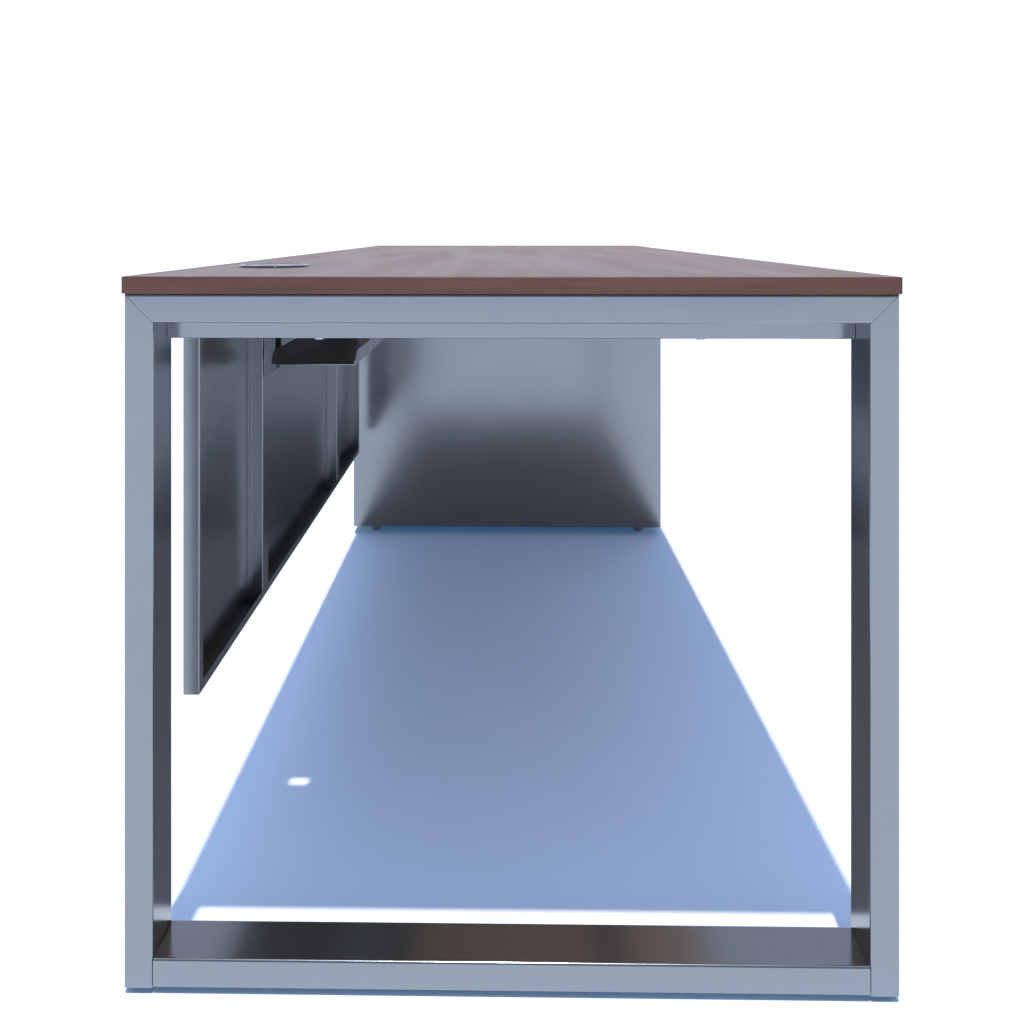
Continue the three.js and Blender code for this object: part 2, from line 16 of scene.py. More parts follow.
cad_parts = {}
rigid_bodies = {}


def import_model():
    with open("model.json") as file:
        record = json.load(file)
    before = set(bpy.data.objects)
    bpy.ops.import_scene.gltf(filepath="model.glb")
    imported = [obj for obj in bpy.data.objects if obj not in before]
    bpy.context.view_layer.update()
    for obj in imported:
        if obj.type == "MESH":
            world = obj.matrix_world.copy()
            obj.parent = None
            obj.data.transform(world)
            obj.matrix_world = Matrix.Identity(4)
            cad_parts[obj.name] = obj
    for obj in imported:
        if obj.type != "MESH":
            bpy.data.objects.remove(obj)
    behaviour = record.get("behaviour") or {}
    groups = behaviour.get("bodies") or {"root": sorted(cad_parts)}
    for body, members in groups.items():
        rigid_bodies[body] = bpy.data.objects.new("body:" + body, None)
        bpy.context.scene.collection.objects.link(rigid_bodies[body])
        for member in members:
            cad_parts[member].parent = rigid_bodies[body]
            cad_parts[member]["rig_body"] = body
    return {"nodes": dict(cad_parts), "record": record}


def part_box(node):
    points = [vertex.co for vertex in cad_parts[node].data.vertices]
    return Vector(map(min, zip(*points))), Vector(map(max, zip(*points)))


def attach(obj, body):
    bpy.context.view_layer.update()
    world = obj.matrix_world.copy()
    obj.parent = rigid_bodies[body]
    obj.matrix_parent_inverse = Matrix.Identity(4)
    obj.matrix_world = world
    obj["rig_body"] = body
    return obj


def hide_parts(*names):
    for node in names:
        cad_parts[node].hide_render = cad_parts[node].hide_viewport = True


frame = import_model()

MM = 0.001
scene = bpy.context.scene
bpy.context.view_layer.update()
slot_of = {part["node"]: part["material_slot"] for part in frame["record"]["subparts"]}

# %% [markdown]
# ## The camera
# The desk is seen along its length, from just above its worktop. Uprights stay parallel only if the
# camera is level, so it is not tilted down. The picture's frame is slid down instead, as a view
# camera's back is, and that is what the two shifts do.

# %% Camera
camera = bpy.data.objects.new("camera", bpy.data.cameras.new("camera"))
scene.collection.objects.link(camera)
camera.location = (-1.7845, 0.0047, 0.7873)
toe = 0.0133  # radians that the camera is turned towards the visitor's side
camera.rotation_euler = (math.pi / 2, 0, toe - math.pi / 2)
camera.data.lens = 30.4
camera.data.shift_x = 0.018
camera.data.shift_y = -0.275
scene.camera = camera

# %% [markdown]
# ## Building node trees
# Shaders and shapes are both trees of nodes. One short function adds a node, sets its options, and
# either links or fills each socket, so every tree below reads as a list of what goes into what.

# %% Ways to add a node
def add(tree, kind, sockets=None, **options):
    node = tree.nodes.new(kind)
    for name, value in options.items():
        setattr(node, name, value)
    for name, value in (sockets or {}).items():
        if isinstance(value, bpy.types.NodeSocket):
            tree.links.new(value, node.inputs[name])
        else:
            node.inputs[name].default_value = value
    return node


def vector(tree, x, y, z):
    return add(tree, "ShaderNodeCombineXYZ", {"X": x, "Y": y, "Z": z}).outputs[0]


def maths(tree, operation, *values):
    return add(tree, "ShaderNodeMath", dict(enumerate(values)), operation=operation).outputs[0]


def ramp(tree, value, low, high, start=0.0, end=1.0):
    """Runs smoothly from start to end while value goes from low to high."""
    sockets = {"Value": value, "From Min": low, "From Max": high, "To Min": start, "To Max": end}
    return add(tree, "ShaderNodeMapRange", sockets, interpolation_type="SMOOTHSTEP").outputs[0]


def mixed(tree, share, first, second):
    return add(tree, "ShaderNodeMix", {0: share, 6: first, 7: second}, data_type="RGBA").outputs[2]


# %% [markdown]
# ## Light and floor
# One hard lamp stands far overhead, a little behind the desk's end, and a weak fill comes from all
# sides. The two add up to white on a level surface. Seen straight on, the surroundings are a
# white backdrop. Steel shows that backdrop too, with a little of the daylight's blue, but only where it
# stands, behind the desk: overhead it falls off to a grey ceiling, and behind the camera the room is
# dimmer. Without that difference a metal surface has nothing to show its shape with.

# %% World
world = bpy.data.worlds.new("studio")
scene.world = world
world.use_nodes = True
air = world.node_tree
air.nodes.clear()
fill_colour = (0.155, 0.16, 0.18)
backdrop_colour = (1.0, 1.0, 1.0, 1)
horizon_colour = (0.90, 0.98, 1.18, 1)
ceiling_colour = (0.48, 0.54, 0.66, 1)
dim_room_colour = (0.21, 0.30, 0.46, 1)

looking = add(air, "ShaderNodeSeparateXYZ", {0: add(air, "ShaderNodeTexCoord").outputs["Generated"]})
wall = mixed(air, ramp(air, looking.outputs["Z"], 0.1, 0.6), horizon_colour, ceiling_colour)
room = mixed(air, ramp(air, looking.outputs["X"], -0.45, -0.8), wall, dim_room_colour)
ray = add(air, "ShaderNodeLightPath")
fill = add(air, "ShaderNodeBackground", {"Color": (*fill_colour, 1)})
mirrored = add(air, "ShaderNodeBackground", {"Color": room})
backdrop = add(air, "ShaderNodeBackground", {"Color": backdrop_colour})
unseen = add(air, "ShaderNodeMixShader", {
    0: ray.outputs["Is Glossy Ray"], 1: fill.outputs[0], 2: mirrored.outputs[0]})
straight = maths(air, "MAXIMUM", ray.outputs["Is Camera Ray"], ray.outputs["Is Transmission Ray"])
seen = add(air, "ShaderNodeMixShader", {0: straight, 1: unseen.outputs[0], 2: backdrop.outputs[0]})
add(air, "ShaderNodeOutputWorld", {"Surface": seen.outputs[0]})

# %% Lamp
lamp = bpy.data.objects.new("overhead_lamp", bpy.data.lights.new("overhead_lamp", "SUN"))
scene.collection.objects.link(lamp)
beam_direction = Vector((0.165, -0.012, -1)).normalized()
lamp.rotation_euler = beam_direction.to_track_quat("-Z", "Y").to_euler()
lamp.data.angle = math.radians(0.8)
fill_on_level = 0.85  # how much of the fill reaches a level surface of the desk
rest_of_white = [1.0 - fill_on_level * channel for channel in fill_colour]
brightest = max(rest_of_white)
lamp.data.color = [channel / brightest for channel in rest_of_white]
lamp.data.energy = math.pi * brightest / -beam_direction.z
print("lamp", round(lamp.data.energy, 2), "W/m2, colour", [round(c, 2) for c in lamp.data.color])

# %% [markdown]
# The floor is pale and matt. The camera alone sees a blue glow painted onto it, painted light that prints the
# lit part as plain white and leaves the shadow a clear cool blue. The glow fades where the desk closes the
# floor in, which is painted shade that deepens the shadow there. Steel mirrors a cool white floor, a painted
# reflection colour that only reflections see. To the light that it throws back it is an ordinary pale floor,
# so the desk gets no more light from it than from a real one.

# %% Floor
floor_mesh = bpy.data.meshes.new("floor")
reach = 40.0  # metres from the middle to each edge
corners = [(-reach, -reach, 0), (reach, -reach, 0), (reach, reach, 0), (-reach, reach, 0)]
floor_mesh.from_pydata(corners, [], [(0, 1, 2, 3)])
floor = bpy.data.objects.new("floor", floor_mesh)
scene.collection.objects.link(floor)
floor_finish = bpy.data.materials.new("pale_floor")
floor_finish.use_nodes = True
pale = floor_finish.node_tree
pale.nodes.clear()
light_path = add(pale, "ShaderNodeLightPath").outputs
# Reflections see the floor in a cool blue-white, a painted reflection colour; every other ray sees a pale
# grey
floor_colour_with_painted_reflection = mixed(pale, light_path["Is Glossy Ray"], (0.93, 0.93, 0.93, 1), (1.03, 1.17, 1.35, 1))
matt = add(pale, "ShaderNodeBsdfDiffuse", {"Color": floor_colour_with_painted_reflection})
# Painted light and shade: a glow that only the camera sees, dimmer where ambient occlusion finds the desk
# close
openness = add(pale, "ShaderNodeAmbientOcclusion", {"Distance": 1.6}, samples=8).outputs["AO"]
painted_shade_glow_colour = mixed(pale, ramp(pale, openness, 0.25, 0.8), (0.02, 0.07, 0.16, 1), (0.19, 0.34, 0.67, 1))
painted_glow_and_shade = add(pale, "ShaderNodeEmission", {"Color": painted_shade_glow_colour, "Strength": light_path["Is Camera Ray"]})
cool_floor = add(pale, "ShaderNodeAddShader", {0: matt.outputs[0], 1: painted_glow_and_shade.outputs[0]})
add(pale, "ShaderNodeOutputMaterial", {"Surface": cool_floor.outputs[0]})
floor_mesh.materials.append(floor_finish)
scene.view_settings.view_transform = "Standard"

# %% [markdown]
# ## Finishes
# Each finish is a small tree on one Principled shader. The pattern is laid out in the desk's own
# metres, from Object coordinates, so a tube, its mitre and the sheet beside it carry one continuous
# surface. A noise gives the value, and its size in millimetres is one over its scale.

# %% Helpers for finishes
def new_finish(name):
    finish = bpy.data.materials.new(name)
    finish.use_nodes = True
    return finish, finish.node_tree, finish.node_tree.nodes["Principled BSDF"]


def stretched(tree, x=1.0, y=1.0, z=1.0):
    """Object coordinates, stretched along the axes with the small numbers."""
    place = add(tree, "ShaderNodeTexCoord").outputs["Object"]
    return add(tree, "ShaderNodeMapping", {"Vector": place, "Scale": (x, y, z)}).outputs[0]


def noise(tree, where, scale, detail=2.0, roughness=0.5, distortion=0.0):
    return add(tree, "ShaderNodeTexNoise", {
        "Vector": where, "Scale": scale, "Detail": detail, "Roughness": roughness,
        "Distortion": distortion}).outputs[0]


def colour_ramp(tree, value, stops):
    node = add(tree, "ShaderNodeValToRGB", {"Fac": value})
    band = node.color_ramp
    band.elements[0].position, band.elements[0].color = stops[0][0], (*stops[0][1], 1)
    band.elements[1].position, band.elements[1].color = stops[-1][0], (*stops[-1][1], 1)
    for position, colour in stops[1:-1]:
        band.elements.new(position).color = (*colour, 1)
    return node.outputs[0]


def shaded(tree, colour, value, low, high):
    """The colour, made darker or lighter as value goes from 0 to 1."""
    share = ramp(tree, value, 0.25, 0.75)
    dark = tuple(channel * low for channel in colour)
    light = tuple(channel * high for channel in colour)
    return mixed(tree, share, (*dark, 1), (*light, 1))


def bumped(tree, shader, *layers):
    """Stacks bumps of (height value, distance in metres) and feeds them to the shader."""
    normal = None
    for height, distance in layers:
        sockets = {"Height": height, "Distance": distance, "Strength": 1.0}
        if normal is not None:
            sockets["Normal"] = normal
        normal = add(tree, "ShaderNodeBump", sockets).outputs[0]
    tree.links.new(normal, shader.inputs["Normal"])


def feed(tree, shader, **values):
    for name, value in values.items():
        socket = shader.inputs[name.replace("_", " ")]
        if isinstance(value, bpy.types.NodeSocket):
            tree.links.new(value, socket)
        else:
            socket.default_value = value


# %% [markdown]
# ### Steel paint
# The steel is powder coated in a satin blue-grey with metal in it. Aluminium flakes under the surface
# make it behave as a soft mirror, so the shader is metallic, and the paint's own marks are laid on it:
# flakes about a millimetre apart that differ in brightness, a gloss that is never quite even, and the
# low waves that a baked powder leaves, known as orange peel.

# %% Paint
def steel_paint(name, colour, gloss=0.17):
    finish, tree, shader = new_finish(name)
    place = stretched(tree)
    flakes = noise(tree, place, 1100, 1)
    clouds = noise(tree, place, 4.0, 3)
    peel = noise(tree, place, 400, 2)
    speckled = shaded(tree, colour, flakes, 0.94, 1.06)
    drifted = shaded(tree, (1, 1, 1), clouds, 0.985, 1.01)
    tint = add(tree, "ShaderNodeMix", {0: 1.0, 6: speckled, 7: drifted},
               data_type="RGBA", blend_type="MULTIPLY").outputs[2]
    evenness = ramp(tree, noise(tree, place, 9, 2), 0.3, 0.7, gloss - 0.01, gloss + 0.015)
    feed(tree, shader, Base_Color=tint, Metallic=0.93, Roughness=evenness)
    bumped(tree, shader, (peel, 0.000004), (flakes, 0.000001))
    return finish


frame_paint = steel_paint("frame_powder_coat", (0.295, 0.31, 0.34))
# The panel's and the cabinet's copies of the coat are a little darker than the frame's: painted shade for
# their place under the worktop
panel_paint = steel_paint("panel_powder_coat", (0.275, 0.288, 0.31), 0.24)
cabinet_paint = steel_paint("cabinet_powder_coat", (0.28, 0.295, 0.325), 0.19)
print("paint on", sum(slot.endswith("_paint") for slot in slot_of.values()), "nodes")

# %% [markdown]
# ### Walnut
# Walnut is sawn along the trunk, so its year rings show as long nested curves. They are one slow noise,
# stretched along the board, that a sine cuts into rings. Over them lie three finer layers, all stretched
# the same way: brown drifts, hair-thin fibres, and the open pores, short dark scratches a few
# millimetres long that also dent the lacquer.

# %% Walnut
def walnut(name, along, ring_count=15.0, lightness=1.0, pore_depth=0.5, underside=None):
    finish, tree, shader = new_finish(name)
    x, y = (0.55, 5.5) if along == "x" else (5.5, 0.55)
    board = stretched(tree, x, y, 5.5)
    swell = noise(tree, board, 1.0, 1, 0.4, 0.15)
    rings = maths(tree, "SINE", maths(tree, "MULTIPLY", swell, ring_count * math.pi))
    drift = noise(tree, board, 3.0, 4)
    x, y = (7.0, 420.0) if along == "x" else (420.0, 7.0)
    fibres = noise(tree, stretched(tree, x, y, 420.0), 1.0, 3, 0.6)
    x, y = (45.0, 900.0) if along == "x" else (900.0, 45.0)
    pores = ramp(tree, noise(tree, stretched(tree, x, y, 900.0), 1.0, 1), 0.66, 0.74)
    figure = maths(tree, "ADD", maths(tree, "MULTIPLY", rings, 0.09), maths(tree, "MULTIPLY", drift, 0.5))
    figure = maths(tree, "ADD", figure, maths(tree, "MULTIPLY", fibres, 0.5))
    stops = [(0.12, (0.085, 0.038, 0.029)), (0.42, (0.145, 0.066, 0.050)),
             (0.60, (0.185, 0.088, 0.066)), (0.92, (0.255, 0.132, 0.098))]
    stops = [(position, tuple(channel * lightness for channel in colour)) for position, colour in stops]
    wood = colour_ramp(tree, figure, stops)
    wood = mixed(tree, maths(tree, "MULTIPLY", pores, pore_depth), wood, (0.035, 0.017, 0.013, 1))
    # Faces that look down get a pale brown: partly the balancing sheet under a worktop, partly painted light,
    # lightened to stand in for the light the floor throws up under the desk
    if underside:
        level = add(tree, "ShaderNodeSeparateXYZ", {0: add(tree, "ShaderNodeNewGeometry").outputs["Normal"]})
        underside_sheet_and_painted_light = shaded(tree, underside, fibres, 0.88, 1.08)
        wood = mixed(tree, ramp(tree, level.outputs["Z"], -0.4, -0.6), wood, underside_sheet_and_painted_light)
    evenness = ramp(tree, drift, 0.3, 0.7, 0.33, 0.41)
    evenness = maths(tree, "ADD", evenness, maths(tree, "MULTIPLY", pores, 0.25))
    # The reflections get a cool blue tint, painted reflection colour that stands in for the blue of the sky
    feed(tree, shader, Base_Color=wood, Roughness=evenness, Specular_Tint=(0.86, 0.88, 1.0, 1))
    bumped(tree, shader, (fibres, 0.00003), (maths(tree, "SUBTRACT", 1.0, pores), 0.00005))
    return finish


worktop_walnut = walnut("worktop_walnut", "x", underside=(0.52, 0.34, 0.23))
long_band_walnut = walnut("long_band_walnut", "x", 6.0, 1.12, 0.25)
end_band_walnut = walnut("end_band_walnut", "y", 6.0, 1.12, 0.25)

# %% [markdown]
# ### Small metal and plastic parts
# Zinc plate has a crystal pattern, one cell of Voronoi noise to each crystal. The outlet ring and the
# lock are plated and turned, so they are smooth with faint rings. The plastics are moulded in a
# lightly sparked tool, which gives them a fine matt grain and no other pattern.

# %% Zinc, plate and plastic
def zinc_plate(name):
    finish, tree, shader = new_finish(name)
    place = stretched(tree)
    crystals = add(tree, "ShaderNodeTexVoronoi", {"Vector": place, "Scale": 160}).outputs["Color"]
    level = add(tree, "ShaderNodeSeparateXYZ", {0: crystals}).outputs["X"]
    tint = shaded(tree, (0.66, 0.76, 0.88), level, 0.88, 1.05)
    feed(tree, shader, Base_Color=tint, Metallic=1.0, Roughness=ramp(tree, level, 0, 1, 0.28, 0.42))
    bumped(tree, shader, (noise(tree, place, 500, 2), 0.000006))
    return finish


def turned_plate(name, colour, roughness):
    finish, tree, shader = new_finish(name)
    place = stretched(tree)
    marks = noise(tree, place, 700, 2)
    smears = noise(tree, place, 40, 3)
    feed(tree, shader, Base_Color=shaded(tree, colour, smears, 0.94, 1.03), Metallic=1.0,
         Roughness=ramp(tree, smears, 0.3, 0.7, roughness - 0.04, roughness + 0.05))
    bumped(tree, shader, (marks, 0.000003))
    return finish


def moulded_plastic(name, colour, roughness=0.45):
    finish, tree, shader = new_finish(name)
    place = stretched(tree)
    sparks = noise(tree, place, 1500, 2)
    handled = noise(tree, place, 35, 3)
    feed(tree, shader, Base_Color=shaded(tree, colour, handled, 0.9, 1.1),
         Roughness=ramp(tree, handled, 0.3, 0.7, roughness - 0.05, roughness + 0.08))
    bumped(tree, shader, (sparks, 0.00001))
    return finish


finishes = {
    "walnut_top": worktop_walnut,
    "walnut_band": long_band_walnut,
    "frame_paint": frame_paint,
    "panel_paint": panel_paint,
    "cabinet_paint": cabinet_paint,
    "zinc": zinc_plate("zinc_plate"),
    "outlet_metal": turned_plate("outlet_plate", (0.10, 0.115, 0.14), 0.16),
    "lock_metal": turned_plate("lock_plate", (0.70, 0.71, 0.73), 0.14),
    "cap_plastic": moulded_plastic("outlet_cap_plastic", (0.10, 0.12, 0.15), 0.22),
    # The glides' pale blue-grey is partly painted reflection: a bright foot mirroring the cool shaded floor
    # round it
    "glide_plastic": moulded_plastic("glide_plastic_grain", (0.42, 0.49, 0.60)),
    "plug_plastic": moulded_plastic("plug_plastic_grain", (0.02, 0.021, 0.024)),
}
for node, made in frame["nodes"].items():
    made.data.materials.clear()
    made.data.materials.append(finishes[slot_of[node]])
print(len(finishes), "finishes")

# %% [markdown]
# ## Standing in for an engineered piece
# A finished piece takes over from the plain node it is made from: it hides the node, moves with the
# same body and keeps the same place in the list of materials. Its modifiers are made real first, so
# that what is seen and measured is one plain mesh.

# %% Take over from a node
def made_real(piece):
    graph = bpy.context.evaluated_depsgraph_get()
    mesh = bpy.data.meshes.new_from_object(
        piece.evaluated_get(graph), preserve_all_data_layers=True, depsgraph=graph)
    rough, piece.data = piece.data, mesh
    piece.modifiers.clear()
    bpy.data.meshes.remove(rough)
    mesh.name = piece.name
    return piece


def volume_and_gaps(mesh):
    """The volume in cubic millimetres, and how many edges don't join exactly two faces."""
    return measured(shape_of(mesh))


def shape_of(mesh):
    shape = bmesh.new()
    shape.from_mesh(mesh)
    return shape


def welded(node):
    """The engineered node with its facets joined at their corners."""
    shape = shape_of(frame["nodes"][node].data)
    bmesh.ops.remove_doubles(shape, verts=shape.verts, dist=0.01 * MM)
    return shape


def measured(shape):
    volume = shape.calc_volume(signed=True) / MM**3
    open_edges = sum(len(edge.link_faces) != 2 for edge in shape.edges)
    shape.free()
    return volume, open_edges


def stand_for(piece, *nodes, finish=None):
    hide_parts(*nodes)
    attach(piece, frame["nodes"][nodes[0]]["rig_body"])
    piece.data.materials.clear()
    piece.data.materials.append(finish or finishes[slot_of[nodes[0]]])
    volume, open_edges = volume_and_gaps(piece.data)
    share = volume / sum(measured(welded(node))[0] for node in nodes)
    remark = "" if volume > 0 and not open_edges else "  <-- not a closed outward body"
    print(f"{piece.name}: {len(piece.data.polygons)} faces, {share:.3f} of the plain volume{remark}")
    return piece


# %% [markdown]
# ## Softening the engineered shapes
# Folded sheet has no sharp corners. The press leaves an outside radius of about the sheet's thickness
# and a small inside one, and these bends are what catches the light. A sheared rim is almost sharp. So
# each edge of a copied node gets its own bevel weight: beside a strip about as narrow as the sheet it is
# a rim, and any other edge is a fold. Weighted normals keep the flats flat.

# %% A copy of a node with its bends and rims rounded
STRAIGHT = math.radians(0.6)  # two faces or edges that turn less than this are one
BEND = math.radians(30)  # an edge that turns more than this is rounded
RIM_WIDTH = 1.6  # a strip narrower than this many sheets is a rim


def is_flat(edge):
    return edge.calc_face_angle(math.pi) < STRAIGHT


def join_flats(shape):
    """Joins triangles into whole faces, the longest seam first, so that only short seams are left."""
    flat_edges = [edge for edge in shape.edges if is_flat(edge)]
    bmesh.ops.beautify_fill(shape, faces=shape.faces, edges=flat_edges, method="AREA")
    seams = [edge for edge in shape.edges if is_flat(edge)]
    for seam in sorted(seams, key=lambda edge: edge.calc_length(), reverse=True):
        if not seam.is_valid:
            continue
        first, second = seam.link_faces
        shared_edges = set(first.edges) & set(second.edges)
        shared_corners = set(first.verts) & set(second.verts)
        if first != second and len(shared_corners) == len(shared_edges) + 1:
            bmesh.utils.face_join([first, second])
    on_an_edge = [vert for vert in shape.verts if len(vert.link_edges) == 2]
    halfway = [vert for vert in on_an_edge if vert.calc_edge_angle(1) < STRAIGHT]
    bmesh.ops.dissolve_verts(shape, verts=halfway)


def width_beside(edge, face):
    """How far the face reaches from the middle of its edge, square to that edge."""
    start, end = (vert.co for vert in edge.verts)
    middle, along = (start + end) / 2, (end - start).normalized()
    loop = next(loop for loop in face.loops if loop.edge == edge)
    inward = face.normal.cross(loop.link_loop_next.vert.co - loop.vert.co).normalized()
    reach = []
    for other in face.edges:
        first, second = (vert.co - middle for vert in other.verts)
        before, after = first.dot(along), second.dot(along)
        if other != edge and before * after < 0 and not is_flat(other):
            crossing = first.lerp(second, before / (before - after)).dot(inward)
            if crossing > 0:
                reach.append(crossing)
    return min(reach, default=1.0)


def kept_in_box(piece, node):
    """Where three rims meet, a bevel can push their corner out past the sheet. This moves it back."""
    corners = frame["nodes"][node].bound_box
    low, high = ([pick(corner[axis] for corner in corners) for axis in range(3)] for pick in (min, max))
    for vertex in piece.data.vertices:
        vertex.co = [min(max(vertex.co[axis], low[axis]), high[axis]) for axis in range(3)]
    return piece


def softened(node, fold, rim=0.25, sheet=1.5, steps=3):
    """Rounds the folds, the rims and the insides of the folds. All lengths are millimetres."""
    shape = welded(node)
    join_flats(shape)
    weight = shape.edges.layers.float.new("bevel_weight_edge")
    inside = max(fold - sheet, 0.3)
    for edge in shape.edges:
        turn = edge.calc_face_angle_signed(0)
        if abs(turn) > BEND:
            width = min(width_beside(edge, face) for face in edge.link_faces)
            is_rim = width < RIM_WIDTH * sheet * MM
            edge[weight] = (rim if is_rim else fold if turn > 0 else inside) / fold
    for face in shape.faces:
        face.smooth = True
    mesh = bpy.data.meshes.new(node + "_finished")
    shape.to_mesh(mesh)
    shape.free()
    piece = bpy.data.objects.new(node + "_finished", mesh)
    scene.collection.objects.link(piece)
    bends = piece.modifiers.new("bends", "BEVEL")
    bends.limit_method = "WEIGHT"
    bends.width = fold * MM
    bends.segments = steps
    bends.use_clamp_overlap = False
    flats = piece.modifiers.new("flats", "WEIGHTED_NORMAL")
    flats.weight = 100
    return stand_for(kept_in_box(made_real(piece), node), node)


# %% [markdown]
# ## A section swept round
# Tubes, glides and the outlet's ring are one kind of shape: the profile of a wall, carried round a
# rectangle with rounded corners. If the corners take up the whole rectangle it becomes a circle, and
# the same tree turns a piece as a lathe does. The profile is drawn as points of (depth below the
# outer surface, height), and the tree rounds its corners, lays a grid of profile points by steps
# round the outline, and moves each grid point to its place. A slope cuts an end at an angle for a
# mitre, and ribs press waves into the rim.

# %% The sweeping tree
def inputs_of(tree, *sockets):
    for name, kind in sockets:
        tree.interface.new_socket(name, in_out="INPUT", socket_type="NodeSocket" + kind)
    tree.interface.new_socket("Geometry", in_out="OUTPUT", socket_type="NodeSocketGeometry")
    return add(tree, "NodeGroupInput").outputs


CRISP = math.radians(50)  # an edge that turns more than this shows as an edge


def finish_tree(tree, geometry, finish):
    """Ends a tree: one plain mesh, smooth but for its cut edges, in its finish."""
    real = add(tree, "GeometryNodeRealizeInstances", {"Geometry": geometry}).outputs[0]
    smooth = add(tree, "GeometryNodeSetShadeSmooth", {"Geometry": real}).outputs[0]
    turn = add(tree, "GeometryNodeInputMeshEdgeAngle").outputs["Unsigned Angle"]
    is_cut = add(tree, "FunctionNodeCompare", {"A": turn, "B": CRISP}, operation="GREATER_THAN").outputs[0]
    crisp = add(tree, "GeometryNodeSetShadeSmooth", {
        "Geometry": smooth, "Selection": is_cut, "Shade Smooth": False}, domain="EDGE").outputs[0]
    painted = add(tree, "GeometryNodeSetMaterial", {"Geometry": crisp, "Material": finish}).outputs[0]
    add(tree, "NodeGroupOutput", {"Geometry": painted})


sweep = bpy.data.node_groups.new("section_swept_round", "GeometryNodeTree")
given = inputs_of(
    sweep, ("Geometry", "Geometry"), ("Width", "Float"), ("Depth", "Float"), ("Corner", "Float"),
    ("Corner Steps", "Int"), ("Rounding", "Float"), ("Length", "Float"), ("Start Slope", "Float"),
    ("End Slope", "Float"), ("Ribs", "Int"), ("Rib Depth", "Float"), ("Finish", "Material"))
line = add(sweep, "GeometryNodeMeshToCurve", {"Mesh": given["Geometry"]}).outputs[0]
line = add(sweep, "GeometryNodeFilletCurve", {
    "Curve": line, "Radius": given["Rounding"], "Limit Radius": True, "Count": 2}, mode="POLY").outputs[0]
line_size = add(sweep, "GeometryNodeAttributeDomainSize", {"Geometry": line}, component="CURVE")
profile_count = line_size.outputs["Point Count"]
per_corner = maths(sweep, "ADD", given["Corner Steps"], 1)
around = maths(sweep, "MULTIPLY", per_corner, 4)
net = add(sweep, "GeometryNodeMeshGrid", {
    "Size X": 1.0, "Size Y": 1.0, "Vertices X": maths(sweep, "ADD", around, 1),
    "Vertices Y": profile_count}).outputs["Mesh"]

index = add(sweep, "GeometryNodeInputIndex").outputs[0]
row = maths(sweep, "FLOORED_MODULO", index, profile_count)
column = maths(sweep, "FLOOR", maths(sweep, "DIVIDE", index, profile_count))
step = maths(sweep, "FLOORED_MODULO", column, around)
corner_number = maths(sweep, "FLOOR", maths(sweep, "DIVIDE", step, per_corner))
step = maths(sweep, "SUBTRACT", step, maths(sweep, "MULTIPLY", corner_number, per_corner))
quarter = maths(sweep, "ADD", corner_number, maths(sweep, "DIVIDE", step, given["Corner Steps"]))
angle = maths(sweep, "MULTIPLY", quarter, math.pi / 2)
middle = maths(sweep, "MULTIPLY", maths(sweep, "ADD", corner_number, 0.5), math.pi / 2)

drawn = add(sweep, "GeometryNodeSampleIndex", {
    "Geometry": line, "Value": add(sweep, "GeometryNodeInputPosition").outputs[0],
    "Index": row}, data_type="FLOAT_VECTOR")
drawn = add(sweep, "ShaderNodeSeparateXYZ", {0: drawn.outputs[0]}).outputs
swing = maths(sweep, "COSINE", maths(sweep, "MULTIPLY", angle, given["Ribs"]))
wave = maths(sweep, "SUBTRACT", 0.5, maths(sweep, "MULTIPLY", 0.5, swing))
rib_reach = maths(sweep, "MULTIPLY", given["Rib Depth"], 4.0)
fade = maths(sweep, "SUBTRACT", 1.0, maths(sweep, "DIVIDE", drawn["X"], rib_reach))
press = maths(sweep, "MULTIPLY", wave, maths(sweep, "MAXIMUM", fade, 0.0))
below = maths(sweep, "ADD", drawn["X"], maths(sweep, "MULTIPLY", press, given["Rib Depth"]))
radius = maths(sweep, "MAXIMUM", maths(sweep, "SUBTRACT", given["Corner"], below), 0.0)


def coordinate(size, turn):
    """Along one axis: the corner's centre, on the corner's own side, plus the radius in its direction."""
    skin = maths(sweep, "SUBTRACT", maths(sweep, "MULTIPLY", size, 0.5), below)
    centre = maths(sweep, "SUBTRACT", skin, radius)
    side = maths(sweep, "SIGN", maths(sweep, turn, middle))
    from_centre = maths(sweep, "MULTIPLY", maths(sweep, turn, angle), radius)
    return maths(sweep, "ADD", maths(sweep, "MULTIPLY", centre, side), from_centre)


across, back = coordinate(given["Width"], "COSINE"), coordinate(given["Depth"], "SINE")
share = maths(sweep, "DIVIDE", drawn["Z"], given["Length"])
slope = maths(sweep, "ADD", maths(sweep, "MULTIPLY", given["End Slope"], share),
              maths(sweep, "MULTIPLY", given["Start Slope"], maths(sweep, "SUBTRACT", 1.0, share)))
height = maths(sweep, "ADD", drawn["Z"], maths(sweep, "MULTIPLY", back, slope))
place = vector(sweep, across, back, height)
body = add(sweep, "GeometryNodeSetPosition", {"Geometry": net, "Position": place}).outputs[0]
body = add(sweep, "GeometryNodeMergeByDistance", {"Geometry": body, "Distance": 0.002 * MM}).outputs[0]
finish_tree(sweep, body, given["Finish"])
print("sweeping tree:", len(sweep.nodes), "nodes")

# %% Use a tree on a line of points
def points_mesh(name, points, joined=True):
    mesh = bpy.data.meshes.new(name)
    edges = [(i, i + 1) for i in range(len(points) - 1)] if joined else []
    mesh.from_pydata([tuple(value * MM for value in point) for point in points], edges, [])
    return mesh


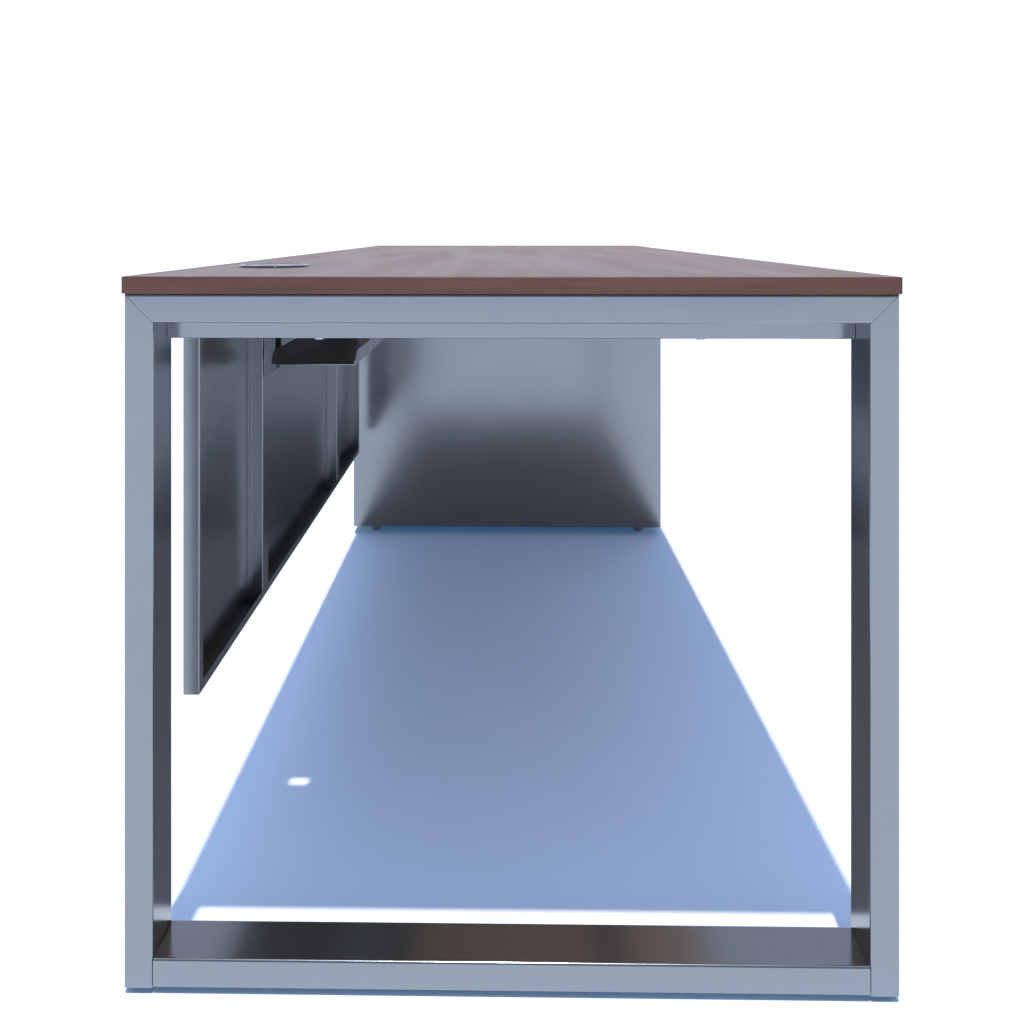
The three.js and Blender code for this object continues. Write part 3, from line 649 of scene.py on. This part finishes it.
def grown(name, tree, mesh, **values):
    """Grows a piece from a mesh with a tree. Lengths are metres here, as in every tree."""
    piece = bpy.data.objects.new(name, mesh)
    scene.collection.objects.link(piece)
    modifier = piece.modifiers.new("shape", "NODES")
    modifier.node_group = tree
    for item in tree.interface.items_tree:
        name_in_values = item.name.replace(" ", "_")
        if item.item_type == "SOCKET" and item.in_out == "INPUT" and name_in_values in values:
            modifier[item.identifier] = values[name_in_values]
    flats = piece.modifiers.new("flats", "WEIGHTED_NORMAL")
    flats.weight = 100
    flats.keep_sharp = True
    made_real(piece)
    if volume_and_gaps(piece.data)[0] < 0:
        piece.data.flip_normals()
    return piece


def swept(name, profile, width, depth, corner, steps, finish, rounding=0.3, length=1.0,
          slopes=(0.0, 0.0), ribs=(0, 0.0)):
    """Carries a profile of (depth below the surface, height) round a rectangle, in millimetres."""
    points = points_mesh(name, [(below, 0, height) for below, height in profile])
    return grown(
        name, sweep, points, Width=width * MM, Depth=depth * MM, Corner=corner * MM, Corner_Steps=steps,
        Rounding=rounding * MM, Length=length * MM, Start_Slope=slopes[0], End_Slope=slopes[1],
        Ribs=ribs[0], Rib_Depth=ribs[1] * MM, Finish=finish)


def turned(name, profile, steps, finish, rounding=0.3, ribs=(0, 0.0)):
    """A lathe: the profile is given as (radius, height)."""
    outer = max(radius for radius, height in profile)
    below = [(outer - radius, height) for radius, height in profile]
    return swept(name, below, 2 * outer, 2 * outer, outer, steps, finish, rounding, ribs=ribs)


# %% [markdown]
# ## The loop leg
# The leg is a closed loop of rectangular steel tube. The top corners are mitred, cut at 45 degrees and
# welded, so no open tube end shows. The bottom rail is butted between the posts. Each tube is the
# profile of its wall swept round the section of its node, and only the slopes of its ends differ.

# %% Tubes of the leg
tube_wall, tube_corner = 1.5, 2.75


Box = namedtuple("Box", "low high middle size")


def box_of(node):
    """The lowest and highest corner of a node, its middle and its size, in millimetres."""
    low, high = ([value / MM for value in corner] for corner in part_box(node))
    middle = [(start + end) / 2 for start, end in zip(low, high)]
    return Box(low, high, middle, [end - start for start, end in zip(low, high)])


def tube(node, length, width, depth, slopes=(0.0, 0.0)):
    """A hollow tube that stands on the origin, with its ends cut at the given slopes.

    A slope turns an end about the tube's middle line, so the length is given along that line.
    """
    wall = [(0, length / 2), (0, length), (tube_wall, length), (tube_wall, 0), (0, 0), (0, length / 2)]
    return swept(node + "_finished", wall, width, depth, tube_corner, 5, frame_paint, 0.25, length, slopes)


def placed(piece, matrix_rows, x, y, z):
    """Turns the mesh itself, then moves it, so that the object stays at the origin."""
    turn = Matrix([row + (0,) for row in matrix_rows] + [(0, 0, 0, 1)])
    piece.data.transform(Matrix.Translation((x * MM, y * MM, z * MM)) @ turn)
    piece.data.update()
    return piece


upright = [(1, 0, 0), (0, 1, 0), (0, 0, 1)]
along_y = [(1, 0, 0), (0, 0, 1), (0, -1, 0)]

for side, outward in (("user", -1), ("visitor", 1)):
    box = box_of(f"leg_post_{side}")
    width, depth, tall = box.size
    post = tube(f"leg_post_{side}", tall - depth / 2, width, depth, (0.0, float(outward)))
    placed(post, upright, box.middle[0], box.middle[1], box.low[2])
    stand_for(post, f"leg_post_{side}")

box = box_of("leg_bottom_rail")
width, length, face = box.size
rail = tube("leg_bottom_rail", length, width, face)
placed(rail, along_y, box.middle[0], box.low[1], box.middle[2])
stand_for(rail, "leg_bottom_rail")

box = box_of("leg_top_rail")
width, length, face = box.size
rail = tube("leg_top_rail", length - face, width, face, (1.0, -1.0))
placed(rail, along_y, box.middle[0], box.low[1] + face / 2, box.middle[2])
stand_for(rail, "leg_top_rail")

# %% Bearers and beams, whose screw holes come from the engineered shape
for node in ("leg_bearer", "cabinet_bearer", "beam_user", "beam_visitor"):
    softened(node, fold=0.4, rim=0.3, sheet=2.2, steps=2)

# %% [markdown]
# ## Glides, plugs and screws
# A levelling glide is a moulded foot on a threaded stud, with ribs round its rim so that fingers can
# turn it. It is turned on the lathe tree from its outline. The screws are four of one kind, so one
# screw is turned, and a second tree cuts the driver's recess into it and puts it at each place.

# %% Levelling glides
stud_length, stud_radius, collar_radius = 30.0, 4.0, 7
glide_ribs = (24, 0.5)  # how many, and how deep


def thread(radius, depth, start, half_pitch, count):
    """The outline of a thread: points that lie on the radius and below it in turn."""
    return [(radius - (depth if i % 2 else 0.0), start + half_pitch * i) for i in range(count)]


def glide(node):
    box = box_of(node)
    top, outer = box.high[2], box.size[0] / 2
    disc = top - stud_length
    foot = outer - disc / 2 if disc < 10 else outer * 0.6
    outline = [(0, 0), (foot - 0.6, 0), (foot, 0.6), (outer, disc / 2), (outer, disc)]
    outline += [(collar_radius, disc), (collar_radius, disc + 0.01), (stud_radius, disc + 0.01)]
    outline += thread(stud_radius, 0.45, disc + 1.0, 0.55, 52) + [(3.4, top), (0, top)]
    piece = turned(node + "_finished", outline, 18, finishes["glide_plastic"], 0.12, glide_ribs)
    placed(piece, upright, box.middle[0], box.middle[1], 0)
    stand_for(piece, node)


for node in sorted(slot_of):
    if "_glide_" in node:
        glide(node)
for node in ("post_plug_user", "post_plug_visitor"):
    softened(node, fold=0.2, rim=0.2, sheet=0.5, steps=2)

# %% The tree that cuts a recess and repeats a piece
repeat = bpy.data.node_groups.new("recessed_and_repeated", "GeometryNodeTree")
given = inputs_of(
    repeat, ("Geometry", "Geometry"), ("Blank", "Object"), ("Arm", "Float"), ("Slot", "Float"),
    ("Second Arm", "Float"), ("Recess Depth", "Float"), ("Turn", "Vector"), ("Finish", "Material"))
blank = add(repeat, "GeometryNodeObjectInfo", {"Object": given["Blank"]}).outputs["Geometry"]
deep = maths(repeat, "MULTIPLY", given["Recess Depth"], 2.0)
recessed = blank
for across_x, across_y in ((given["Arm"], given["Slot"]), (given["Second Arm"], given["Arm"])):
    arm_size = vector(repeat, across_x, across_y, deep)
    arm = add(repeat, "GeometryNodeMeshCube", {"Size": arm_size}).outputs["Mesh"]
    recessed = add(repeat, "GeometryNodeMeshBoolean", {"Mesh 1": recessed, "Mesh 2": arm},
                   operation="DIFFERENCE", solver="MANIFOLD").outputs["Mesh"]
turn = add(repeat, "FunctionNodeEulerToRotation", {0: given["Turn"]}).outputs[0]
copies = add(repeat, "GeometryNodeInstanceOnPoints", {
    "Points": given["Geometry"], "Instance": recessed, "Rotation": turn}).outputs[0]
finish_tree(repeat, copies, given["Finish"])
print("repeating tree:", len(repeat.nodes), "nodes")


def repeated(name, blank, places, arm, slot, second_arm, depth, finish, turn=(0.0, 0.0, 0.0)):
    """Cuts a recess of two crossed arms into the blank, and stands a copy at each place."""
    piece = grown(
        name, repeat, points_mesh(name, places, joined=False), Blank=blank, Arm=arm * MM, Slot=slot * MM,
        Second_Arm=second_arm * MM, Recess_Depth=depth * MM, Turn=turn, Finish=finish)
    bpy.data.objects.remove(blank)
    return piece


# %% Bearer screws
screw_nodes = sorted(node for node in slot_of if "_bearer_screw_" in node)
screw_length = box_of(screw_nodes[0]).size[2]
head_radius, head_height, shank_radius = 5.0, 4.0, 2.5
half_pitch, thread_start, tip = 0.5, 5.0, 1.5
outline = [(0, 0), (3.9, 0), (4.7, 0.5), (head_radius, 1.4)]
outline += [(head_radius, head_height), (shank_radius, head_height)]
turn_count = int((screw_length - thread_start - tip) / half_pitch)
outline += thread(shank_radius, 0.35, thread_start, half_pitch, turn_count)
outline += [(1.6, screw_length), (0, screw_length)]
screw_blank = turned("screw_blank", outline, 8, finishes["zinc"], 0.1)
boxes = [box_of(node) for node in screw_nodes]
heads = [(box.middle[0], box.middle[1], box.low[2]) for box in boxes]
recess_arm, recess_slot, recess_depth = 5.0, 1.1, 2.2
screws = repeated(
    "bearer_screws", screw_blank, heads, recess_arm, recess_slot, recess_slot, recess_depth, finishes["zinc"])
stand_for(screws, *screw_nodes)

# %% [markdown]
# ## The worktop
# The board and its four edge bands stay separate pieces, as they are glued in the workshop. The
# softened rims leave a hair-thin joint between them. An end band is rounded on all four sides, so
# it is a section swept round its own face. Grain runs along the desk on the board and the
# long bands, and along the band itself on the two ends.

# %% Board and bands
softened("tabletop", fold=0.15, rim=0.15, sheet=0.5, steps=2)
for side in ("user", "visitor"):
    softened(f"edge_band_{side}", fold=0.15, rim=0.15, sheet=0.1, steps=2)

outward_x = {
    "cabinet_end": [(0, 0, 1), (1, 0, 0), (0, 1, 0)],
    "leg_end": [(0, 0, -1), (-1, 0, 0), (0, 1, 0)]}
band_round = 1.5
for end, rows in outward_x.items():
    box = box_of(f"edge_band_{end}")
    thick, width, depth = box.size
    turns = [math.radians(angle) for angle in (0, 22.5, 45, 67.5, 90)]
    rounded = [(band_round * (1 - math.cos(turn)), thick - band_round * (1 - math.sin(turn)))
               for turn in turns]
    section = [(depth / 2, 0), (0, 0)] + rounded + [(depth / 2, thick)]
    band = swept(f"edge_band_{end}_finished", section, width, depth, band_round, 5, end_band_walnut, 0.02)
    glued_face = box.low[0] if end == "cabinet_end" else box.high[0]
    placed(band, rows, glued_face, box.middle[1], box.middle[2])
    stand_for(band, f"edge_band_{end}", finish=end_band_walnut)

# %% [markdown]
# ## The cable outlet
# The ring is turned: a domed rim that lies on the worktop, a tube down through it, and a ledge for the
# cap. The cap is a lid with a slot for the cables, and it lifts out.

# %% Ring and cap
box = box_of("grommet_ring")
flange, bore, inner, ledge = 45, 39.75, 37.75, 34.75  # radii
rise, seat = 2.5, 0.25  # the flange's top and underside above the worktop
ring_outline = [
    (bore, -9), (bore, seat), (flange, seat), (flange, 1.1), (43.6, 2.2), (41.6, rise), (38.75, rise),
    (38.1, 2.1), (inner, 1.6), (inner, -1.25), (ledge, -1.25), (ledge, -3.25), (inner, -6.25),
    (inner, -18), (bore, -18), (bore, -9)]
ring = turned("outlet_ring_finished", ring_outline, 24, finishes["outlet_metal"], 0.25)
placed(ring, upright, box.middle[0], box.middle[1], box.high[2] - rise)
stand_for(ring, "grommet_ring")
softened("grommet_cap", fold=0.5, rim=0.3, sheet=0.5, steps=3)

# %% [markdown]
# ## Modesty panel, brackets and cable tray
# These are folded from one and a half millimetre sheet or thinner. The panel is a pan with its lips
# turned in, stiffened by two hat sections, and the tray is a channel hung from two tabs.

# %% Folded sheet
softened("modesty_panel", fold=1.5, rim=0.3, sheet=1.0)
for node in ("stiffener_near", "stiffener_far"):
    softened(node, fold=1.0, rim=0.3, sheet=1.0)
for node in ("tray_bracket_near", "tray_bracket_far", "cable_tray"):
    softened(node, fold=0.6, rim=0.25, sheet=1.5, steps=2)

# %% [markdown]
# ## Cabinet and drawers
# The case is double skinned. Each wall is a long box of one section with round corners, closed below
# and open above, so it is swept like a tube, with a floor that runs in to its middle. Each drawer is a
# front with a finger pull, a folded box and a runner on each side.

# %% Case, drawers and runners
case_sheet, case_corner = 1.2, 4.0
for node in ("cabinet_side_inner", "cabinet_side_outer", "cabinet_back"):
    box = box_of(node)
    width, depth, tall = box.size
    half = min(width, depth) / 2
    skin = [(half, 0), (0, 0), (0, tall), (case_sheet, tall), (case_sheet, case_sheet), (half, case_sheet)]
    wall = swept(node + "_finished", skin, width, depth, case_corner, 6, cabinet_paint, 0.4)
    placed(wall, upright, box.middle[0], box.middle[1], box.low[2])
    stand_for(wall, node)
for node in ("cabinet_base", "cabinet_top"):
    softened(node, fold=0.8, rim=0.3, sheet=1.2)
for level in ("top", "middle", "bottom"):
    for piece in ("front", "box", "rail_left", "rail_right", "slide_left", "slide_right"):
        softened(f"drawer_{level}_{piece}", fold=1.2, rim=0.35, sheet=1.2)

# %% [markdown]
# ## The lock
# A small cylinder lock. The barrel has a raised rim and a slot for the key, which is cut by the tree
# that cuts the screws' recesses, with one arm in place of two.

# %% Lock barrel
box = box_of("lock_barrel")
barrel_radius, barrel_length = 9.0, box.size[1]
outline = [(0, 0.5), (5.2, 0.5), (5.8, 0.0), (8.2, 0.0), (barrel_radius, 0.7)]
outline += [(barrel_radius, barrel_length), (0, barrel_length)]
barrel_blank = turned("barrel_blank", outline, 12, finishes["lock_metal"], 0.15)
face_centre = (box.middle[0], box.low[1], box.middle[2])
key_length, key_width, no_arm, key_depth = 7.0, 1.4, 0.0, 3.5
to_the_user = (-math.pi / 2, 0.0, 0.0)
barrel = repeated(
    "lock_barrel_finished", barrel_blank, [face_centre], key_length, key_width, no_arm, key_depth,
    finishes["lock_metal"], to_the_user)
stand_for(barrel, "lock_barrel")
